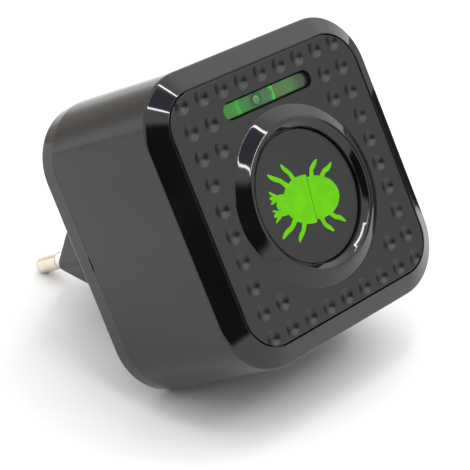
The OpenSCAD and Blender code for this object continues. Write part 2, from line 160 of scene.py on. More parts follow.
world = bpy.data.worlds.new("studioLight")
bpy.context.scene.world = world
world.use_nodes = True
worldTree = world.node_tree
worldTree.nodes.clear()
lookDirection = addNode(worldTree, "TexCoord").outputs["Generated"]
roomColour = [studio["brightness"]] * 3 + [1.0]
for azimuth, elevation, inner, outer, brightness, tint in studio["zones"]:
    closeness = addNode(worldTree, "VectorMath", {"operation": "DOT_PRODUCT"},
                        {0: lookDirection, 1: tableDirection(azimuth, elevation)}).outputs["Value"]
    inside = addNode(worldTree, "MapRange", {"interpolation_type": "SMOOTHSTEP"}, {
        "Value": closeness, "From Min": math.cos(math.radians(outer)),
        "From Max": math.cos(math.radians(inner))})
    level = [c * brightness for c in toLinear(tint)[:3]] + [1.0]
    roomColour = addNode(worldTree, "Mix", {"data_type": "RGBA"},
                         {0: inside, 6: roomColour, 7: level}).outputs[2]
litRoom = addNode(worldTree, "Background", None, {"Color": roomColour})
whiteRoom = addNode(worldTree, "Background", None, {"Color": (1, 1, 1, 1)})
seenDirectly = addNode(worldTree, "LightPath").outputs["Is Camera Ray"]
roomMix = addNode(worldTree, "MixShader", None, {0: seenDirectly, 1: litRoom, 2: whiteRoom})
addNode(worldTree, "OutputWorld", None, {"Surface": roomMix})

# Four strip lights make a frame high over the table
lampSet = studio["frame"]
lampDirection = tableDirection(lampSet["azimuth"], lampSet["elevation"])
lampCentre = Vector((0, frontY, middleZ)) + lampDirection * lampSet["distance"] * mm
lampTurn = Matrix.Rotation(math.radians(lampSet["turn"]), 4, "Z")
lampMatrix = facing(lampCentre, lampDirection, tableBack) @ lampTurn
for k in range(4):
    half, reach = [(lampSet["across"], lampSet["along"]), (lampSet["along"], lampSet["across"])][k % 2]
    lamp = bpy.data.lights.new("stripLight%d" % k, "AREA")
    lamp.shape = "RECTANGLE"
    lamp.size = (2 * half + lampSet["strip"]) * mm
    lamp.size_y = lampSet["strip"] * mm
    lamp.energy = lampSet["radiance"] * math.pi * lamp.size * lamp.size_y
    strip = bpy.data.objects.new(lamp.name, lamp)
    bpy.context.scene.collection.objects.link(strip)
    turn = Matrix.Rotation(k * math.pi / 2, 4, "Z")
    strip.matrix_world = lampMatrix @ turn @ Matrix.Translation((0, reach * mm, 0))
    strip.visible_camera = False


# Adds a flat rectangle of the stage that faces along towards
def stagePlane(name, width, height, place, towards, upward):
    bpy.ops.object.select_all(action="DESELECT")
    bpy.ops.mesh.primitive_plane_add(size=1)
    plane = bpy.context.object
    plane.name = name
    plane.data.transform(facing(place, towards, upward) @ Matrix.Diagonal((width * mm, height * mm, 1, 1)))
    return plane


# The cards give the glossy edges their dark lines, and neither shade the table nor show to the camera
for azimuth, distance, width, height, tone in studio["cards"]:
    outwards = tableDirection(azimuth, 0)
    cardPlace = contactFront + outwards * distance * mm + tableUp * height / 2 * mm
    card = stagePlane("darkCard", width, height, cardPlace, -outwards, tableUp)
    board = newTree("darkCard")[0]
    paint = addNode(board.node_tree, "BsdfDiffuse", None, {"Color": toLinear(tone)})
    addNode(board.node_tree, "OutputMaterial", None, {"Surface": paint})
    card.data.materials.append(board)
    for ray in ("camera", "diffuse", "transmission", "shadow"):
        setattr(card, "visible_" + ray, False)

# The table is a white sheet that can be seen through from below
tableSet = studio["table"]
tablePlace = contactFront - tableUp * standing["gap"] * mm
floor = stagePlane("tableTop", tableSet["side"], tableSet["side"], tablePlace, tableUp, tableBack)
sheet, sheetPlace = newTree("whiteTableSheet")
fibre = addNode(sheet.node_tree, "TexNoise", None, {
    "Vector": sheetPlace, "Scale": 1 / (tableSet["mottle"] * mm), "Detail": 3})
paperTone = addNode(sheet.node_tree, "Mix", {"data_type": "RGBA"}, {
    0: fibre, 6: toLinear(tableSet["tones"][0]), 7: toLinear(tableSet["tones"][1])})
paper = addNode(sheet.node_tree, "BsdfDiffuse", None, {"Color": paperTone.outputs[2]})
clear = addNode(sheet.node_tree, "BsdfTransparent")
under = addNode(sheet.node_tree, "NewGeometry").outputs["Backfacing"]
paperMix = addNode(sheet.node_tree, "MixShader", None, {0: under, 1: paper, 2: clear})
addNode(sheet.node_tree, "OutputMaterial", None, {"Surface": paperMix})
floor.data.materials.append(sheet)
print("stage: studio lit")


# Surfaces that differ only in numbers: two tones, size in mm of the cloud between them, size in mm of the
# relief, range of roughness, strength of the relief and its height in mm. Then what else one has: ior, metal,
# the step in mm of its lines, glow, or dust with its spacing in mm, the specks' share of that and their tone
surfaces = {
    # ABS from a polished mould: deep black, mirror reflections, barely wavy
    "polishedBlackAbs": (
        ("#050505", "#0f0b0b"), 11, 2.5, (0.035, 0.06), (0.25, 0.004),
        {"ior": 1.52, "dust": (3.4, 0.022, "#8f8f8c")}),
    # ABS from a finely spark-eroded mould: soft grey sheen on black
    "satinBlackAbs": (
        ("#0d0d0e", "#131314"), 7, 0.28, (0.32, 0.38), (0.35, 0.012),
        {"ior": 1.5, "dust": (3.8, 0.022, "#6d6f70")}),
    # Glass-filled polycarbonate moulding of the mains plug: duller black with a fine tooth
    "toothedBlackPolycarbonate": (("#0e0e10", "#17171a"), 6, 0.35, (0.3, 0.42), (0.5, 0.02), {"ior": 1.56}),
    # Pad-printed ink: flat bright green, slightly thinner in places
    "greenPadPrint": (("#5bb400", "#66c302"), 2.2, 0.3, (0.5, 0.6), (0.2, 0.006), {"ior": 1.22}),
    # Soft PVC sleeve: warm white, waxy
    "whitePvcSleeve": (("#f1f2f0", "#fafaf8"), 3, 0.6, (0.35, 0.5), (0.3, 0.01), {"ior": 1.53}),
    # Turned brass, nickel plated: pale gold with faint lathe marks
    "platedBrassPin": (
        ("#ded3bd", "#eae1cf"), 2.5, 0.5, (0.2, 0.28), (0.12, 0.004), {"metal": 1, "lines": 0.25}),
    # Zinc-plated steel screws: bluish, finely scuffed
    "zincPlatedSteel": (("#a9adb3", "#c8ccd0"), 0.9, 0.3, (0.24, 0.4), (0.3, 0.008), {"metal": 1}),
    # Polyester label film: satin silver-grey
    "satinLabelFilm": (("#7f8386", "#8b8f92"), 5, 0.4, (0.32, 0.42), (0.2, 0.004), {"ior": 1.6}),
    # Clear green epoxy of the indicator: bright with a wet gloss
    "greenEpoxyDome": (
        ("#35b83c", "#6fe36f"), 1.4, 0.8, (0.06, 0.14), (0.1, 0.004),
        {"ior": 1.54, "glow": ("#46d24a", 0.35)}),
    # Painted shade: flat, dead black on the flange's front behind the window's edge, standing in for the
    # shadow in the gap around the lens
    "paintedGapShade": (("#030303", "#060606"), 2, 0.2, (0.6, 0.75), (0.3, 0.006), {"ior": 1.25}),
    # White ABS holder: plain, slightly milky
    "whiteAbsHolder": (("#dcdbd5", "#e8e7e2"), 6, 0.4, (0.4, 0.5), (0.3, 0.01), {"ior": 1.52}),
    # Closed-cell foam: dark grey with open pores
    "closedCellFoam": (("#2b2b2d", "#434346"), 0.9, 0.22, (0.85, 0.95), (0.9, 0.08), {"ior": 1.45}),
    # Rolled brass plate: yellow metal with rolling lines
    "rolledBrass": (("#b8913f", "#d3ad58"), 3, 0.3, (0.22, 0.36), (0.2, 0.006), {"metal": 1, "lines": 0.2}),
    # Silvered piezo ceramic: chalky cream
    "firedCeramic": (("#dcd7ca", "#efebe0"), 1.8, 0.2, (0.5, 0.65), (0.4, 0.01), {"ior": 1.6}),
    # Paper phenolic board: brown with faint lines
    "phenolicLaminate": (
        ("#7d6029", "#a2843f"), 3, 0.3, (0.42, 0.55), (0.4, 0.02), {"ior": 1.55, "lines": 0.45}),
    # Lead-free solder: bright, slightly frosted metal
    "frostedSolder": (("#b4b8bb", "#d6d9db"), 0.5, 0.15, (0.22, 0.42), (0.4, 0.02), {"metal": 1}),
    # Flame-proof dipped film capacitor: yellow resin
    "yellowResinCase": (("#b98f17", "#d1a82c"), 4, 0.4, (0.3, 0.45), (0.3, 0.01), {"ior": 1.55}),
    # Shrink sleeve on an aluminium can: dark navy, wavy gloss
    "shrunkCanSleeve": (("#141922", "#222a36"), 4, 1.2, (0.2, 0.32), (0.5, 0.03), {"ior": 1.52}),
    # Transfer-moulded epoxy packages: matt black with a sandy tooth
    "mouldedBlackEpoxy": (("#161617", "#232324"), 1.5, 0.18, (0.5, 0.66), (0.5, 0.015), {"ior": 1.55}),
    # Sintered ferrite: dark grey, porous
    "sinteredFerrite": (("#28282a", "#3b3b3d"), 1.2, 0.2, (0.45, 0.6), (0.5, 0.02), {"ior": 1.9}),
    # Enamelled copper wire: red-brown metal under varnish, wound in fine lines
    "enamelledCopper": (
        ("#8f4418", "#c0692f"), 1.5, 0.25, (0.16, 0.28), (0.4, 0.03), {"metal": 1, "lines": 0.3}),
    # Dipped blue epoxy of the varistor: rounded, glossy, orange-peel
    "dippedBlueEpoxy": (("#2353a0", "#3a6cb8"), 2.5, 0.7, (0.2, 0.32), (0.6, 0.04), {"ior": 1.55}),
    # Lacquered resistor bodies: tan with a soft gloss
    "tanLacquer": (("#b99a6b", "#d2b98c"), 1, 0.3, (0.3, 0.42), (0.3, 0.012), {"ior": 1.52}),
}
# Extruded PVC round the wires: plain colour with a soft gloss
wireTones = {"redPvcWire": ("#a3161b", "#bb2a2c"), "brownPvcWire": ("#4d2c17", "#63401f"),
             "bluePvcWire": ("#1d4f9c", "#2d66b8")}
for wire, tones in wireTones.items():
    surfaces[wire] = (tones, 2, 0.3, (0.35, 0.5), (0.3, 0.01), {"ior": 1.53})

noiseLow, noiseHigh = 0.3, 0.7    # most of a noise texture's values lie between these
bandStep = 0.314                  # metres between the bands of a wave texture of scale 1
dustShare = 0.45                  # share of the cells that hold a speck


# Builds one of the surfaces above
def makeSurface(name):
    tones, cloudSize, grainSize, roughness, (bumpStrength, bumpHeight), more = surfaces[name]
    material, place = newTree(name)
    tree = material.node_tree
    cloud = addNode(tree, "TexNoise", None, {"Vector": place, "Scale": 1 / (cloudSize * mm), "Detail": 3})
    grain = addNode(tree, "TexNoise", None, {"Vector": place, "Scale": 1 / (grainSize * mm), "Detail": 2})
    spread = addNode(tree, "MapRange", None, {"Value": cloud, "From Min": noiseLow, "From Max": noiseHigh})
    tone = addNode(tree, "Mix", {"data_type": "RGBA"}, {
        0: spread, 6: toLinear(tones[0]), 7: toLinear(tones[1])}).outputs[2]
    rough = addNode(tree, "MapRange", None, {
        "Value": spread, "To Min": roughness[0], "To Max": roughness[1]})
    relief = grain
    if "lines" in more:    # bands across the piece's length, from machining, rolling or winding
        waves = addNode(tree, "TexWave", {"bands_direction": "Y"}, {
            "Vector": place, "Scale": bandStep / (more["lines"] * mm), "Distortion": 1.5, "Detail": 2})
        relief = addNode(tree, "Math", {"operation": "ADD"}, {0: relief, 1: waves.outputs["Fac"]})
    if "dust" in more:     # a few specks of dust, drawn a little larger than real so that they show
        spacing, size, dustTone = more["dust"]
        cells = addNode(tree, "TexVoronoi", None, {"Vector": place, "Scale": 1 / (spacing * mm)})
        near = addNode(tree, "Math", {"operation": "LESS_THAN"}, {0: cells.outputs["Distance"], 1: size})
        chance = addNode(tree, "SeparateColor", None, {"Color": cells.outputs["Color"]})
        rare = addNode(tree, "Math", {"operation": "LESS_THAN"}, {0: chance, 1: dustShare})
        speck = addNode(tree, "Math", {"operation": "MULTIPLY"}, {0: near, 1: rare})
        tone = addNode(tree, "Mix", {"data_type": "RGBA"}, {
            0: speck, 6: tone, 7: toLinear(dustTone)}).outputs[2]
        rough = addNode(tree, "Math", {"operation": "MAXIMUM"}, {0: rough, 1: speck})
    bump = addNode(tree, "Bump", None, {
        "Height": relief, "Strength": bumpStrength, "Distance": bumpHeight * mm})
    shader = addNode(tree, "BsdfPrincipled", None, {
        "Base Color": tone, "Roughness": rough, "Normal": bump, "Metallic": more.get("metal", 0)})
    if "ior" in more:
        shader.inputs["IOR"].default_value = more["ior"]
    if "glow" in more:
        shader.inputs["Emission Color"].default_value = toLinear(more["glow"][0])
        shader.inputs["Emission Strength"].default_value = more["glow"][1]
    addNode(tree, "OutputMaterial", None, {"Surface": shader})
    return material


finishes = {name: makeSurface(name) for name in surfaces}

# Tinted acrylic of the window, moulded clear: green, half see-through, with a sharp gloss. Cloud is in mm
tintedWindow = {"tones": ("#235a24", "#2c6e2c"), "cloud": 3, "alpha": 0.22, "rough": 0.05, "ior": 1.49}
windowFinish, windowPlace = newTree("greenAcrylicWindow")
windowTree = windowFinish.node_tree
windowCloud = addNode(windowTree, "TexNoise", None, {
    "Vector": windowPlace, "Scale": 1 / (tintedWindow["cloud"] * mm)})
windowTone = addNode(windowTree, "Mix", {"data_type": "RGBA"}, {
    0: windowCloud, 6: toLinear(tintedWindow["tones"][0]), 7: toLinear(tintedWindow["tones"][1])}).outputs[2]
windowShader = addNode(windowTree, "BsdfPrincipled", None, {
    "Base Color": windowTone, "Roughness": tintedWindow["rough"], "IOR": tintedWindow["ior"],
    "Alpha": tintedWindow["alpha"]})
addNode(windowTree, "OutputMaterial", None, {"Surface": windowShader})
finishes["greenAcrylicWindow"] = windowFinish

# Moulded plastic of the light channel, which the indicator floods with green: a dim glow whose colour changes
# along the window, with brighter ribs around the indicator. Sizes and places in mm
channelGlow = {
    "along": [(-13, "#4f7f43"), (-8.5, "#449642"), (-6.4, "#3fa83a"), (-4.5, "#3f8f42"), (-2.5, "#44774b"),
              (1.5, "#467a4c"), (4.5, "#5a7f48"), (9.5, "#5d8a4a"), (11.3, "#5c6a56"), (13, "#5a5a56")],
    "base": "#1c241c", "rough": 0.35, "strength": 0.9,
    "patch": 2.2, "shift": 0.6,       # size of the patches that shift the colours, and how far
    "litHeight": (1.3, 1.75),         # the light fades out between these heights off the middle
    # the lit ribs and the collar with its middle: centre, radius, reach, tone and strength
    "rings": [(-1.3, 5.15, 0.6, "#46e44a", 1.15), (-1.0, 1.3, 0.35, "#1f3f28", 0.8),
              (-0.75, 0.55, 0.3, "#a9c99a", 0.9)],
    "ringPatch": 1.5, "ringSpread": (0.3, 0.55),    # size and range of the noise that breaks the rings up
}
channelFinish, channelPlace = newTree("litChannelPlastic")
channelTree = channelFinish.node_tree
channelParts = addNode(channelTree, "SeparateXYZ", None, {"Vector": channelPlace})
channelCloud = addNode(channelTree, "TexNoise", None, {
    "Vector": channelPlace, "Scale": 1 / (channelGlow["patch"] * mm), "Detail": 3})
channelShift = addNode(channelTree, "MapRange", None, {
    "Value": channelCloud, "From Min": noiseLow, "From Max": noiseHigh,
    "To Min": -channelGlow["shift"] * mm, "To Max": channelGlow["shift"] * mm})
unevenX = addNode(channelTree, "Math", {"operation": "ADD"}, {0: channelParts.outputs[0], 1: channelShift})
glowTone = toLinear(channelGlow["along"][0][1])
for (startX, _), (endX, endTone) in zip(channelGlow["along"], channelGlow["along"][1:]):
    stretch = addNode(channelTree, "MapRange", None, {
        "Value": unevenX, "From Min": startX * mm, "From Max": endX * mm})
    glowTone = addNode(channelTree, "Mix", {"data_type": "RGBA"}, {
        0: stretch, 6: glowTone, 7: toLinear(endTone)}).outputs[2]
flatPlace = addNode(channelTree, "VectorMath", {"operation": "MULTIPLY"}, {0: channelPlace, 1: (1, 0, 1)})
ringPatch = addNode(channelTree, "TexNoise", None, {
    "Vector": channelPlace, "Scale": 1 / (channelGlow["ringPatch"] * mm), "Detail": 2})
ringShare = addNode(channelTree, "MapRange", None, {
    "Value": ringPatch, "From Min": channelGlow["ringSpread"][0],
    "From Max": channelGlow["ringSpread"][1]})
ringLight = channelGlow["strength"]
for ringX, radius, reach, ringTone, ringStrength in channelGlow["rings"]:
    fromCentre = addNode(channelTree, "VectorMath", {"operation": "DISTANCE"}, {
        0: flatPlace, 1: (ringX * mm, 0, slotZ)}).outputs["Value"]
    ringGap = addNode(channelTree, "Math", {"operation": "SUBTRACT"}, {0: fromCentre, 1: radius * mm})
    ringDistance = addNode(channelTree, "Math", {"operation": "ABSOLUTE"}, {0: ringGap})
    nearRing = addNode(channelTree, "MapRange", {"interpolation_type": "SMOOTHSTEP"}, {
        "Value": ringDistance, "From Min": reach * mm, "From Max": 0})
    onRing = addNode(channelTree, "Math", {"operation": "MULTIPLY"}, {0: nearRing, 1: ringShare})
    glowTone = addNode(channelTree, "Mix", {"data_type": "RGBA"}, {
        0: onRing, 6: glowTone, 7: toLinear(ringTone)}).outputs[2]
    ringLight = addNode(channelTree, "Mix", {"data_type": "FLOAT"}, {
        0: onRing, 2: ringLight, 3: ringStrength})
# the light stays in the middle of the channel, so its upper and lower edges are dark
offMiddle = addNode(channelTree, "Math", {"operation": "SUBTRACT"}, {0: channelParts.outputs[2], 1: slotZ})
height = addNode(channelTree, "Math", {"operation": "ABSOLUTE"}, {0: offMiddle})
lit = addNode(channelTree, "MapRange", {"interpolation_type": "SMOOTHSTEP"}, {
    "Value": height, "From Min": channelGlow["litHeight"][1] * mm,
    "From Max": channelGlow["litHeight"][0] * mm})
glowStrength = addNode(channelTree, "Math", {"operation": "MULTIPLY"}, {0: ringLight, 1: lit})
channelShader = addNode(channelTree, "BsdfPrincipled", None, {
    "Base Color": toLinear(channelGlow["base"]), "Roughness": channelGlow["rough"],
    "Emission Color": glowTone, "Emission Strength": glowStrength})
addNode(channelTree, "OutputMaterial", None, {"Surface": channelShader})
finishes["litChannelPlastic"] = channelFinish
print("stage: materials made")


# Leaves edit mode and selects only these pieces, with the first one active
def selectOnly(*pieces):
    if bpy.context.object and bpy.context.object.mode == "EDIT":
        bpy.ops.object.mode_set(mode="OBJECT")
    bpy.ops.object.select_all(action="DESELECT")
    for piece in pieces:
        piece.select_set(True)
    if pieces:
        bpy.context.view_layer.objects.active = pieces[0]


# Starts a piece from a primitive and leaves it in edit mode
def startPiece(name, addPrimitive, **choices):
    selectOnly()
    addPrimitive(**choices)
    piece = bpy.context.object
    piece.name = name
    piece.data.name = name
    bpy.ops.object.mode_set(mode="EDIT")
    return piece


# Puts the open piece's place, or a given one, into its mesh and leaves edit mode
def settle(piece, place=None):
    bpy.ops.object.mode_set(mode="OBJECT")
    if place is not None:
        piece.matrix_world = place
    bpy.ops.object.transform_apply(location=True, rotation=True, scale=True)


# Opens the active piece with everything selected
def openWhole():
    bpy.ops.object.mode_set(mode="EDIT")
    bpy.ops.mesh.select_all(action="SELECT")


# Turns all faces of the open piece outwards
def turnOutwards():
    bpy.ops.mesh.select_all(action="SELECT")
    bpy.ops.mesh.normals_make_consistent(inside=False)


def closeWhole():
    turnOutwards()
    bpy.ops.object.mode_set(mode="OBJECT")


# Starts a piece as an upright square of 1 m, open with everything selected
def startSquare(name, place):
    piece = startPiece(name, bpy.ops.mesh.primitive_plane_add, size=1, location=place,
                       rotation=(math.pi / 2, 0, 0))
    settle(piece)
    openWhole()
    return piece


def extrudeAlongY(distance):
    bpy.ops.mesh.extrude_region_move(TRANSFORM_OT_translate={"value": (0, distance, 0)})


# Selects only the vertices or edges of the open piece that pass a test, with the faces between them
def pick(piece, test, kind="VERT"):
    bpy.ops.mesh.select_mode(type=kind)
    bpy.ops.mesh.select_all(action="DESELECT")
    mesh = bmesh.from_edit_mesh(piece.data)
    for part in {"VERT": mesh.verts, "EDGE": mesh.edges}[kind]:
        if test(part):
            part.select_set(True)
    mesh.select_flush(True)
    bmesh.update_edit_mesh(piece.data)


# Distance of a vertex from the rounded outline of a section. A section is its depth behind the front, width,
# height and corner radius in mm
def offSection(vertex, section, centreZ):
    depth, width, height, radius = [v * mm for v in section]
    sideways = abs(vertex.co.x) - (width / 2 - radius)
    upwards = abs(vertex.co.z - centreZ) - (height / 2 - radius)
    outside = math.hypot(max(sideways, 0), max(upwards, 0)) + min(max(sideways, upwards), 0) - radius
    return max(abs(outside), abs(vertex.co.y - frontY - depth))


def pickSections(piece, sections, centreZ, reach=0.004 * mm):
    pick(piece, lambda v: min(offSection(v, s, centreZ) for s in sections) < reach)


# Adds a rounded rectangle at a section as a wire loop, and leaves it selected
def drawSection(section, centreZ, first, steps):
    depth, width, height, radius = [v * mm for v in section]
    place = (0, frontY + depth, centreZ)
    if not first:
        bpy.ops.mesh.primitive_plane_add(size=1, location=place, rotation=(math.pi / 2, 0, 0))
    bpy.ops.transform.resize(value=(width, 1, height), center_override=place)
    bpy.ops.mesh.bevel(offset=radius, affect="VERTICES", segments=steps, profile=0.5)
    bpy.ops.mesh.delete(type="ONLY_FACE")


# Bridges the loops of two sections. Two loops in one plane could be joined with a twist, so the second one is
# moved back for the bridge and then returned
def bridgeSections(piece, first, second, centreZ):
    lift = 2.0 if abs(first[0] - second[0]) < 0.1 else 0.0
    lifted = (second[0] + lift,) + second[1:]
    pickSections(piece, [second], centreZ)
    bpy.ops.transform.translate(value=(0, lift * mm, 0))
    pickSections(piece, [first, lifted], centreZ)
    bpy.ops.mesh.bridge_edge_loops()
    pickSections(piece, [lifted], centreZ)
    bpy.ops.transform.translate(value=(0, -lift * mm, 0))


# Joins a row of rounded sections into a shell. closed links the last to the first, else both ends get a face
def sectionShell(name, sections, centreZ, closed, steps=16):
    piece = startSquare(name, (0, frontY + sections[0][0] * mm, centreZ))
    for k, section in enumerate(sections):
        drawSection(section, centreZ, k == 0, steps)
        if k > 0:
            bridgeSections(piece, sections[k - 1], section, centreZ)
    if closed:
        bridgeSections(piece, sections[0], sections[-1], centreZ)
    else:
        for section in (sections[0], sections[-1]):
            pickSections(piece, [section], centreZ)
            bpy.ops.mesh.edge_face_add()
    turnOutwards()
    return piece


# Rounds the edges of one section's loop
def softenSection(piece, section, centreZ, width, segments=3):
    pickSections(piece, [section], centreZ)
    bpy.ops.mesh.bevel(offset=width * mm, affect="EDGES", segments=segments, profile=0.5)


# Turns a profile of (radius, depth) in mm about a line along Y: a circle is extruded and resized from point
# to point. closed means that the profile returns to its start, else both ends are flat faces
def turnedPiece(name, centre, profile, closed=False, steps=96):
    radius, y = [v * mm for v in profile[0]]
    x, z = centre
    piece = startPiece(name, bpy.ops.mesh.primitive_circle_add, vertices=steps, radius=radius,
                       fill_type="NOTHING" if closed else "NGON")
    settle(piece, Matrix.Translation((x, frontY + y, z)) @ Matrix.Rotation(math.pi / 2, 4, "X"))
    openWhole()
    for nextRadius, nextY in profile[1:]:
        extrudeAlongY(nextY * mm - y)
        grow = nextRadius * mm / radius
        bpy.ops.transform.resize(value=(grow, 1, grow), center_override=(x, frontY + nextY * mm, z))
        radius = nextRadius * mm
        y = nextY * mm
    bpy.ops.mesh.select_all(action="SELECT")
    bpy.ops.mesh.remove_doubles(threshold=0.002 * mm)
    closeWhole()
    return piece


# A copy with its own mesh, moved by a vector
def copied(piece, name, move):
    twin = piece.copy()
    twin.data = piece.data.copy()
    twin.name = name
    twin.data.name = name
    bpy.context.scene.collection.objects.link(twin)
    twin.data.transform(Matrix.Translation(move))
    return twin


# Joins pieces into the first one
def joined(pieces):
    selectOnly(*pieces)
    bpy.ops.object.join()
    return pieces[0]


def applyModifier(piece, kind, **settings):
    selectOnly(piece)
    modifier = piece.modifiers.new(kind.lower(), kind)
    for key, value in settings.items():
        setattr(modifier, key, value)
    bpy.ops.object.modifier_apply(modifier=modifier.name)


# Cuts a tool out of a piece, or adds it, and removes the tool
def carve(piece, tool, operation="DIFFERENCE", overlaps=False):
    applyModifier(piece, "BOOLEAN", operation=operation, solver="EXACT", object=tool, use_self=overlaps)
    bpy.data.objects.remove(tool)


# Closes seams of up to so many mm, turns faces outwards and shades smooth below an angle in degrees, then
# gives the piece its finish and its body, and hides the CAD node it stands for
def completed(piece, finish, node, angle=35, seam=0.001):
    selectOnly(piece)
    openWhole()
    bpy.ops.mesh.remove_doubles(threshold=seam * mm)
    closeWhole()
    bpy.ops.object.shade_smooth_by_angle(angle=math.radians(angle))
    applyModifier(piece, "WEIGHTED_NORMAL", keep_sharp=True, weight=80)
    piece.data.materials.clear()
    piece.data.materials.append(finishes[finish])
    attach(piece, "root")
    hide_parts(node)
    print("piece:", piece.name, len(piece.data.polygons), "faces")
    return piece


# Sections as above; posts and bores are profiles of (radius, depth). All in mm
housing = {
    "seam": (33.8, 66.0, 65.6, 13.7),
    "bezelEdge": (2.6, 64.0, 63.2, 12.9),
    "bezelFront": (0.0, 55.1, 54.5, 8.3),
    "seatFloor": (1.7, 55.1, 54.5, 8.3),
    "ledge": (1.7, 51.1, 50.5, 6.3),
    "ledgeBack": (3.6, 51.1, 50.5, 6.3),
    "cavityFront": (3.6, 60.0, 59.2, 10.9),
    "cavityBack": (33.8, 62.0, 61.6, 11.7),
    "postOut": 23.8,
    "post": [(3.2, 3.2), (3.2, 33.8)],
    "postBore": [(1.25, 19.8), (1.25, 35.0)],
    "boardPost": (27.0, -8.0),
    "boardPostShape": [(2.9, 3.2), (2.9, 16.95)],
    "boardPostBore": [(1.05, 7.95), (1.05, 18.0)],
    "edges": {"bezelEdge": 0.45, "bezelFront": 0.25, "seam": 0.2},
}
outlineNames = ["seam", "bezelEdge", "bezelFront", "seatFloor", "ledge", "ledgeBack", "cavityFront",
                "cavityBack"]
shell = sectionShell("housingShell", [housing[n] for n in outlineNames], middleZ, closed=True, steps=20)
for loopName, width in housing["edges"].items():
    softenSection(shell, housing[loopName], middleZ, width, 4)
corners = [(x * housing["postOut"] * mm, middleZ + z * housing["postOut"] * mm)
           for x in (-1, 1) for z in (-1, 1)]
boardPosts = [(s * housing["boardPost"][0] * mm, middleZ + housing["boardPost"][1] * mm) for s in (-1, 1)]
posts = [turnedPiece("post", c, housing["post"], steps=32) for c in corners]
posts += [turnedPiece("boardPost", c, housing["boardPostShape"], steps=32) for c in boardPosts]
carve(shell, joined(posts), "UNION")
bores = [turnedPiece("bore", c, housing["postBore"], steps=24) for c in corners]
bores += [turnedPiece("boardBore", c, housing["boardPostBore"], steps=24) for c in boardPosts]
carve(shell, joined(bores))
completed(shell, "polishedBlackAbs", "housing")
print("stage: housing made")


cover = {
    "rim": (33.85, 65.8, 65.4, 13.6),
    "shoulder": (38.2, 65.4, 65.0, 13.4),
    "back": (38.8, 64.2, 63.8, 12.8),
    "lipRoot": (33.85, 61.4, 61.0, 11.4),
    "lipEnd": (31.3, 61.4, 61.0, 11.4),
    "lipInside": (31.3, 58.6, 58.2, 10.0),
    "floor": (36.4, 58.6, 58.2, 10.0),
    "edges": {"shoulder": 0.35, "back": 0.35, "rim": 0.2},
    "tube": [(3.2, 33.85), (3.2, 37.8)],
    "screwHole": [(1.6, 32.0), (1.6, 36.0), (2.9, 36.0), (2.9, 40.0)],
    # the pry notch: its size, edge and place across, behind the front and up from the middle
    "notch": (1.4, 0.5, 3.1),
    "notchEdge": 0.1,
    "notchPlace": (-33.0, 34.0, 0.5),
    "opening": (39.8, 18.7, 34.0),    # for the plug: width, height and depth where it starts
    "openingLength": 6.0,
    # the plug's six-sided outline: half height of its short sides, and its sloping sides' run for each rise
    "hexagonSide": 0.7,
    "hexagonRun": 0.93,
}


# Draws the plug's outline at a depth, as a face: a plane whose corners are cut off by a bevel
def plugFace(name, width, height, depth):
    run = cover["hexagonRun"]
    place = (0, frontY + depth * mm, 0)
    piece = startSquare(name, place)
    bpy.ops.transform.resize(value=(width * mm / run, 1, height * mm), center_override=place)
    drop = height / 2 - cover["hexagonSide"]
    bpy.ops.mesh.bevel(offset=drop * mm, affect="VERTICES", segments=1)
    bpy.ops.transform.resize(value=(run, 1, 1), center_override=place)
    bpy.ops.mesh.select_all(action="SELECT")
    return piece


coverNames = ["floor", "lipInside", "lipEnd", "lipRoot", "rim", "shoulder", "back"]
cap = sectionShell("rearCap", [cover[n] for n in coverNames], middleZ, closed=False, steps=20)
for loopName, width in cover["edges"].items():
    softenSection(cap, cover[loopName], middleZ, width, 4)
tubes = [turnedPiece("tube", c, cover["tube"], steps=32) for c in corners]
carve(cap, joined(tubes), "UNION")
holes = [turnedPiece("screwHole", c, cover["screwHole"], steps=40) for c in corners]
carve(cap, joined(holes))
opening = plugFace("plugOpening", *cover["opening"])
extrudeAlongY(cover["openingLength"] * mm)
closeWhole()
carve(cap, opening)
notchX, notchDepth, notchUp = cover["notchPlace"]
notch = startPiece("pryNotch", bpy.ops.mesh.primitive_cube_add, size=1,
                   location=(notchX * mm, frontY + notchDepth * mm, middleZ + notchUp * mm),
                   scale=[v * mm for v in cover["notch"]])
bpy.ops.mesh.bevel(offset=cover["notchEdge"] * mm, affect="EDGES", segments=2)
settle(notch)
carve(cap, notch)
completed(cap, "polishedBlackAbs", "rear_cover")
print("stage: rear cover made")


panel = {
    "front": (0.0, 54.6, 54.0, 8.05),
    "back": (1.6, 54.6, 54.0, 8.05),
    "edge": 0.25,
    "pitch": (5.6, 5.5),
    # the bowl's radius and depth, out to a soft lip
    "dimple": [(2.05, -0.2), (1.86, 0.003), (1.74, 0.02), (1.62, 0.058), (1.5, 0.115), (1.33, 0.215),
               (1.08, 0.36), (0.78, 0.49), (0.4, 0.58), (0.06, 0.61)],
    "slot": (25.8, 3.8, -1.0, 3.0),    # width, height and the depths it is cut between
    "opening": [(18.15, -0.1), (18.0, 0.1), (18.0, 2.6)],
}


# Section of a slot. Its ends are a hair less than half-round, so that no two corners meet
def slotSection(width, height, depth):
    return (depth, width, height, height / 2 - 0.001)


# A slot-shaped prism between two depths
def slotPrism(name, width, height, front, back):
    sections = [slotSection(width, height, depth) for depth in (front, back)]
    return sectionShell(name, sections, slotZ, closed=False, steps=10)


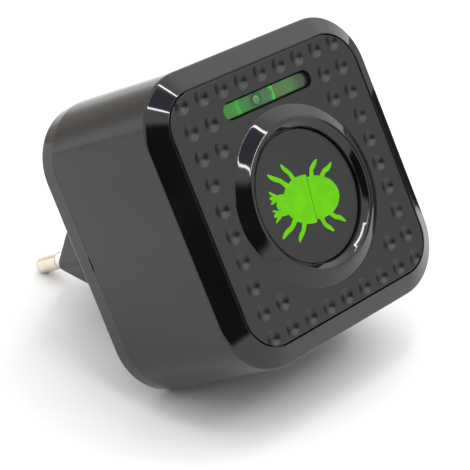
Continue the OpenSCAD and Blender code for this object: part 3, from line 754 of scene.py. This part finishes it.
plate = sectionShell("dimpledPanel", [panel["front"], panel["back"]], middleZ, closed=False, steps=16)
softenSection(plate, panel["front"], middleZ, panel["edge"], 3)
firstDimple = turnedPiece("dimple", (0, middleZ), panel["dimple"], steps=28)
dimples = []
for column in range(-4, 5):
    for row in range(10):
        onEdge = abs(column) == 4 or row in (0, 9)
        inCorner = abs(column) == 3 and row in (1, 2, 8)
        if onEdge or inCorner:
            move = Vector((column * panel["pitch"][0], 0, (4.5 - row) * panel["pitch"][1])) * mm
            dimples.append(copied(firstDimple, "dimple", move))
bpy.data.objects.remove(firstDimple)
carve(plate, joined(dimples))
carve(plate, slotPrism("slotCutter", *panel["slot"]))
carve(plate, turnedPiece("roundOpening", (0, ringZ), panel["opening"]))
completed(plate, "satinBlackAbs", "front_panel", angle=40)
print("stage: front panel made")


# Outer slope, crest, inner slope, wall, and the step behind the disc
ring = {
    "profile": [(19.4, 0.0), (19.28, -0.16), (19.05, -0.32), (18.7, -0.5), (17.5, -1.12), (16.7, -1.53),
                (16.3, -1.69), (16.0, -1.77), (15.7, -1.8), (15.5, -1.76), (15.35, -1.67), (14.47, -0.9),
                (14.33, -0.72), (14.25, -0.45), (14.2, 0.1), (14.2, 0.9), (13.2, 0.9), (13.2, 1.6),
                (17.9, 1.6), (17.9, 0.0), (19.4, 0.0)],
}
ringPiece = turnedPiece("speakerRing", (0, ringZ), ring["profile"], closed=True, steps=160)
completed(ringPiece, "polishedBlackAbs", "speaker_ring", angle=50)

disc = {"profile": [(14.1, 0.85), (14.1, 0.16), (14.06, 0.06), (13.98, 0.01), (13.86, 0.0)]}
discPiece = turnedPiece("centreDisc", (0, ringZ), disc["profile"], steps=128)
completed(discPiece, "satinBlackAbs", "centre_disc", angle=50)
print("stage: ring and disc made")


# Slot shapes are width, height and the depths they lie between
window = {
    "lens": (25.1, 3.0, 0.75, 1.9),
    "lensEdge": 0.12,
    "flange": (28.6, 6.2, 1.65, 2.45),
    "channel": (28.8, 7.0, 2.5, 9.5),
    "hollow": (26.2, 4.6, 2.4, 8.5),
    "diffuser": (26.4, 4.8, 3.1, 3.5),
    "ribSlot": (26.4, 4.8, 2.4, 3.4),
    "ribs": [(4.9, 2.7), (5.25, 2.6), (5.4, 2.7), (5.4, 3.3), (4.9, 3.3), (4.9, 2.7)],
    "ribPlace": -1.3,
    "collar": [(1.05, 2.7), (1.2, 2.6), (1.4, 2.6), (1.5, 2.7), (1.5, 3.3), (1.05, 3.3), (1.05, 2.7)],
    "collarPlace": -1.0,
    "ledHole": [(2.55, 8.0), (2.55, 10.0)],
    "dome": [(2.8, 11.7), (2.8, 10.7), (2.2, 10.7), (2.2, 6.6), (2.1, 6.0), (1.84, 5.4), (1.4, 4.9),
             (0.75, 4.51), (0.1, 4.4)],
}
lensPlate = slotPrism("windowLens", *window["lens"])
softenSection(lensPlate, slotSection(*window["lens"][:3]), slotZ, window["lensEdge"], 2)
carve(lensPlate, slotPrism("windowFlange", *window["flange"]), "UNION")
completed(lensPlate, "greenAcrylicWindow", "light_window")
# the flange's front is painted dead black, as painted shade for the gap around the lens
lensPlate.data.materials.append(finishes["paintedGapShade"])
for face in lensPlate.data.polygons:
    onFlange = abs(face.center.y - frontY - window["flange"][2] * mm) < 0.01 * mm
    if onFlange and face.normal.y < -0.5:
        face.material_index = 1

channel = slotPrism("lightChannel", *window["channel"])
carve(channel, slotPrism("channelHollow", *window["hollow"]))
carve(channel, turnedPiece("ledHole", (ledX, slotZ), window["ledHole"], steps=32))
# a thin diffuser with round ribs and a collar stands behind the window
diffuser = slotPrism("diffuser", *window["diffuser"])
ribs = turnedPiece("ribs", (window["ribPlace"] * mm, slotZ), window["ribs"], closed=True, steps=64)
carve(ribs, slotPrism("ribSlot", *window["ribSlot"]), "INTERSECT")
collar = turnedPiece("collar", (window["collarPlace"] * mm, slotZ), window["collar"], closed=True, steps=32)
carve(diffuser, ribs, "UNION")
carve(diffuser, collar, "UNION")
carve(channel, diffuser, "UNION")
completed(channel, "litChannelPlastic", "light_shroud")

dome = turnedPiece("indicatorDome", (ledX, slotZ), window["dome"], steps=40)
completed(dome, "greenEpoxyDome", "indicator_led", angle=50)
print("stage: light window made")


plug = {
    "outline": (34.8, 13.7, 69.6),    # of the end face: width, height and depth
    "foot": (39.4, 18.3),
    "flareEnd": 47.8,
    "footTop": 40.8,
    "root": 34.4,
    "flange": (44.0, 23.0, 3.0),      # width, height and corner radius
    "flangeBack": 36.35,
    "hollow": (30.8, 9.7, 33.0),
    "hollowEnd": 53.6,
    "longEdges": 0.9,
    "endEdges": 0.5,
    "pinBore": [(1.52, 52.0), (1.52, 66.6), (1.84, 66.6), (1.84, 71.0)],
}
pinSet = {
    "pin": [(1.5, 49.6), (1.5, 79.6), (2.0, 79.6), (2.0, 87.1), (1.93, 87.7), (1.7, 88.2), (1.45, 88.45),
            (1.1, 88.6)],
    "sleeve": [(1.52, 66.65), (1.52, 79.55), (1.74, 79.55), (1.82, 79.47), (1.82, 66.65), (1.52, 66.65)],
}
plugWidth, plugHeight, plugEnd = plug["outline"]
plugBody = plugFace("plugBody", *plug["outline"])
extrudeAlongY((plug["flareEnd"] - plugEnd) * mm)
extrudeAlongY((plug["footTop"] - plug["flareEnd"]) * mm)
bpy.ops.transform.resize(value=(plug["foot"][0] / plugWidth, 1, plug["foot"][1] / plugHeight),
                         center_override=(0, frontY + plug["footTop"] * mm, 0))
extrudeAlongY((plug["root"] - plug["footTop"]) * mm)
turnOutwards()
# the long edges first, then the rim of the end face
pick(plugBody, lambda e: abs((e.verts[0].co - e.verts[1].co).normalized().y) > 0.5, "EDGE")
bpy.ops.mesh.bevel(offset=plug["longEdges"] * mm, affect="EDGES", segments=4)
pick(plugBody, lambda v: abs(v.co.y - frontY - plugEnd * mm) < 1e-6)
bpy.ops.mesh.bevel(offset=plug["endEdges"] * mm, affect="EDGES", segments=3)
flangeSections = [(depth,) + plug["flange"] for depth in (plug["root"], plug["flangeBack"])]
carve(plugBody, sectionShell("plugFlange", flangeSections, 0, closed=False, steps=8), "UNION")
core = plugFace("plugHollow", *plug["hollow"])
extrudeAlongY((plug["hollowEnd"] - plug["hollow"][2]) * mm)
closeWhole()
carve(plugBody, core)
pinBores = [turnedPiece("pinBore", (x, 0), plug["pinBore"], steps=40) for x in (pinX, rightPinX)]
carve(plugBody, joined(pinBores))
# the cuts can leave a sliver open beside the flange
bpy.ops.object.mode_set(mode="EDIT")
pick(plugBody, lambda e: e.is_boundary, "EDGE")
bpy.ops.mesh.edge_face_add()
completed(plugBody, "toothedBlackPolycarbonate", "plug_insert", seam=0.004)

pinStep = Vector((rightPinX - pinX, 0, 0))
leftPin = turnedPiece("leftPin", (pinX, 0), pinSet["pin"], steps=64)
rightPin = copied(leftPin, "rightPin", pinStep)
leftSleeve = turnedPiece("leftSleeve", (pinX, 0), pinSet["sleeve"], closed=True, steps=64)
rightSleeve = copied(leftSleeve, "rightSleeve", pinStep)
completed(leftPin, "platedBrassPin", "left_pin", angle=25)
completed(rightPin, "platedBrassPin", "right_pin", angle=25)
completed(leftSleeve, "whitePvcSleeve", "left_sleeve")
completed(rightSleeve, "whitePvcSleeve", "right_sleeve")
print("stage: plug made")


screw = {
    "head": [(1.2, 36.05), (2.6, 36.05), (2.6, 36.85), (2.5, 37.2), (2.25, 37.45), (1.8, 37.58),
             (1.2, 37.61)],
    "shank": [(0.5, 24.05), (1.1, 25.2), (1.2, 25.6), (1.2, 36.06)],
    "recess": (2.8, 1.3, 0.72),    # length, height astride the head's top, and width
    "recessEdge": 0.12,
}
firstX, firstZ = corners[0]
headTop = frontY + screw["head"][-1][1] * mm
firstHead = turnedPiece("screwHead", corners[0], screw["head"], steps=48)
firstShank = turnedPiece("screwShank", corners[0], screw["shank"], steps=24)
carve(firstHead, firstShank, "UNION")
for turn in (0, math.pi / 2):
    blade = startPiece("recess", bpy.ops.mesh.primitive_cube_add, size=1,
                       scale=[v * mm for v in screw["recess"]])
    bpy.ops.mesh.bevel(offset=screw["recessEdge"] * mm, affect="EDGES", segments=2)
    settle(blade, Matrix.Translation((firstX, headTop, firstZ)) @ Matrix.Rotation(turn, 4, "Y"))
    carve(firstHead, blade)
screwCopies = [copied(firstHead, "coverScrews", Vector((x - firstX, 0, z - firstZ))) for x, z in corners]
bpy.data.objects.remove(firstHead)
completed(joined(screwCopies), "zincPlatedSteel", "cover_screws", angle=30, seam=0.004)

labelSet = {"face": (34.0, 9.0, 1.2), "depths": (38.81, 38.9), "edge": 0.03}
labelSections = [(depth,) + labelSet["face"] for depth in labelSet["depths"]]
label = sectionShell("ratingLabel", labelSections, labelZ, closed=False, steps=6)
softenSection(label, labelSections[1], labelZ, labelSet["edge"], 2)
completed(label, "satinLabelFilm", "rating_label")
print("stage: screws and label made")


mite = {
    "centre": (-1.0, -0.6),     # from the disc's centre, in mm
    "turn": -10,                # degrees, so that the head points left and slightly up
    "top": -0.058,              # depths of its face and its back
    "bottom": 0.01,
    # ovals: centre, half length, half width and where it is cut across
    "rear": (3.0, 6.6, 4.5, 1.84),
    "front": (0.8, 6.9, 5.1, 1.66),
    "snout": (-6.0, 2.1, 1.5, 0.0),
    # each leg: points along it (x towards the tail, y out) and its half widths there
    "legs": [
        [(-3.4, 3.0), (-4.7, 4.1), (-5.5, 5.0), (-6.9, 5.4), (-8.0, 6.2), (-8.6, 6.7)],
        [(-1.4, 4.1), (-2.3, 5.3), (-2.6, 6.2), (-3.6, 6.9), (-4.1, 7.6), (-4.4, 8.2)],
        [(2.8, 3.4), (3.4, 5.0), (3.5, 5.9), (4.4, 6.5), (5.2, 7.2), (5.7, 7.7)],
        [(5.0, 3.0), (6.3, 4.2), (6.9, 5.0), (8.0, 5.1), (8.9, 5.8), (9.6, 6.4)],
    ],
    "halfWidths": [0.66, 0.56, 0.48, 0.56, 0.4, 0.14],
    # each half of the mouth: a palp with a short claw on either side
    "mouth": [[(-5.2, 1.2), (-6.8, 1.55), (-7.9, 1.5), (-8.8, 1.7), (-9.5, 2.0)],
              [(-7.2, 1.7), (-8.1, 2.3), (-8.6, 2.6), (-9.0, 3.0), (-9.3, 3.3)],
              [(-7.6, 1.4), (-8.4, 1.1), (-8.9, 0.9), (-9.2, 0.8), (-9.5, 0.75)]],
    "mouthWidths": [[1.0, 0.72, 0.6, 0.45, 0.15], [0.4, 0.36, 0.32, 0.24, 0.1], [0.35, 0.32, 0.28, 0.2, 0.1]],
}


# Adds a tapering limb to the open edit mesh: a short plane, whose end edge is extruded, turned and resized
def addLimb(piece, points, halfWidths, mirror):
    path = [Vector((x, 0, -y * mirror)) * mm for x, y in points]
    steps = [b - a for a, b in zip(path, path[1:])]
    headings = [math.atan2(steps[0].z, steps[0].x)]
    for a, b in zip(steps, steps[1:]):
        headings.append(headings[-1] + math.atan2(a.x * b.z - a.z * b.x, a.x * b.x + a.z * b.z))
    start = path[0] + steps[0] / 2
    bpy.ops.mesh.primitive_plane_add(size=1, location=start, rotation=(math.pi / 2, 0, 0))
    bpy.ops.transform.resize(value=(steps[0].length, 1, 2 * halfWidths[0] * mm), center_override=start)
    bpy.ops.transform.rotate(value=headings[0], orient_axis="Y", center_override=start)
    mesh = bmesh.from_edit_mesh(piece.data)
    for v in [v for v in mesh.verts if v.select]:
        v.select_set((v.co - start).dot(steps[0]) > 0)
    mesh.select_flush_mode()
    bmesh.update_edit_mesh(piece.data)
    bpy.ops.mesh.select_mode(type="EDGE")
    heading = headings[0]
    for k in range(1, len(path)):
        if k > 1:
            bpy.ops.mesh.extrude_region_move(TRANSFORM_OT_translate={"value": steps[k - 1]})
        bisector = (headings[k - 1] + headings[min(k, len(headings) - 1)]) / 2
        bpy.ops.transform.rotate(value=bisector - heading, orient_axis="Y", center_override=path[k])
        heading = bisector
        grow = halfWidths[k] / halfWidths[k - 1]
        bpy.ops.transform.resize(value=(grow, grow, grow), center_override=path[k])
    bpy.ops.mesh.select_mode(type="VERT")


# Adds an oval to the open edit mesh, cut straight across, and keeps its rear or its front part
def addOval(oval, keepRear):
    centre, length, width, cut = [v * mm for v in oval]
    bpy.ops.mesh.primitive_circle_add(vertices=96, radius=1, fill_type="NGON", location=(centre, 0, 0),
                                      rotation=(math.pi / 2, 0, 0))
    bpy.ops.transform.resize(value=(length, 1, width), center_override=(centre, 0, 0))
    bpy.ops.mesh.bisect(plane_co=(cut, 0, 0), plane_no=(1, 0, 0), clear_inner=keepRear,
                        clear_outer=not keepRear)


# An empty piece to draw flat shapes in
def flatPiece(name):
    piece = startPiece(name, bpy.ops.mesh.primitive_plane_add, size=1)
    bpy.ops.mesh.delete(type="VERT")
    return piece


# Gives flat shapes the print's thickness and puts them on the disc
def raiseFromDisc(piece):
    openWhole()
    extrudeAlongY((mite["bottom"] - mite["top"]) * mm)
    closeWhole()
    x, z = [v * mm for v in mite["centre"]]
    turn = Matrix.Rotation(math.radians(-mite["turn"]), 4, "Y")
    piece.data.transform(Matrix.Translation((x, frontY + mite["top"] * mm, ringZ + z)) @ turn)


limbs = flatPiece("miteLimbs")
for mirror in (-1, 1):
    for leg in mite["legs"]:
        addLimb(limbs, leg, mite["halfWidths"], mirror)
    for points, widths in zip(mite["mouth"], mite["mouthWidths"]):
        addLimb(limbs, points, widths, mirror)
applyModifier(limbs, "SUBSURF", levels=2, render_levels=2)
raiseFromDisc(limbs)
miteBody = flatPiece("mitePrint")
addOval(mite["rear"], True)
addOval(mite["front"], False)
addOval(mite["snout"], False)
raiseFromDisc(miteBody)
carve(miteBody, limbs, "UNION", overlaps=True)
completed(miteBody, "greenPadPrint", "mite_icon")
print("stage: mite print made")


innerFinishes = {
    "sounder_holder": "whiteAbsHolder", "foam_gasket": "closedCellFoam", "piezo_plate": "rolledBrass",
    "piezo_ceramic": "firedCeramic", "piezo_wires": "redPvcWire", "main_board": "phenolicLaminate",
    "solder_joints": "frostedSolder", "board_screws": "zincPlatedSteel", "film_capacitor": "yellowResinCase",
    "electrolytic_capacitor": "shrunkCanSleeve", "bridge_rectifier": "mouldedBlackEpoxy",
    "controller_ic": "mouldedBlackEpoxy", "coil_core": "sinteredFerrite", "coil_winding": "enamelledCopper",
    "varistor": "dippedBlueEpoxy", "resistors": "tanLacquer", "diodes": "mouldedBlackEpoxy",
    "transistors": "mouldedBlackEpoxy", "live_wire": "brownPvcWire", "neutral_wire": "bluePvcWire",
}
for node, finish in innerFinishes.items():
    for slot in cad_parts[node].material_slots:
        slot.material = finishes[finish]
print("stage: inner parts finished")
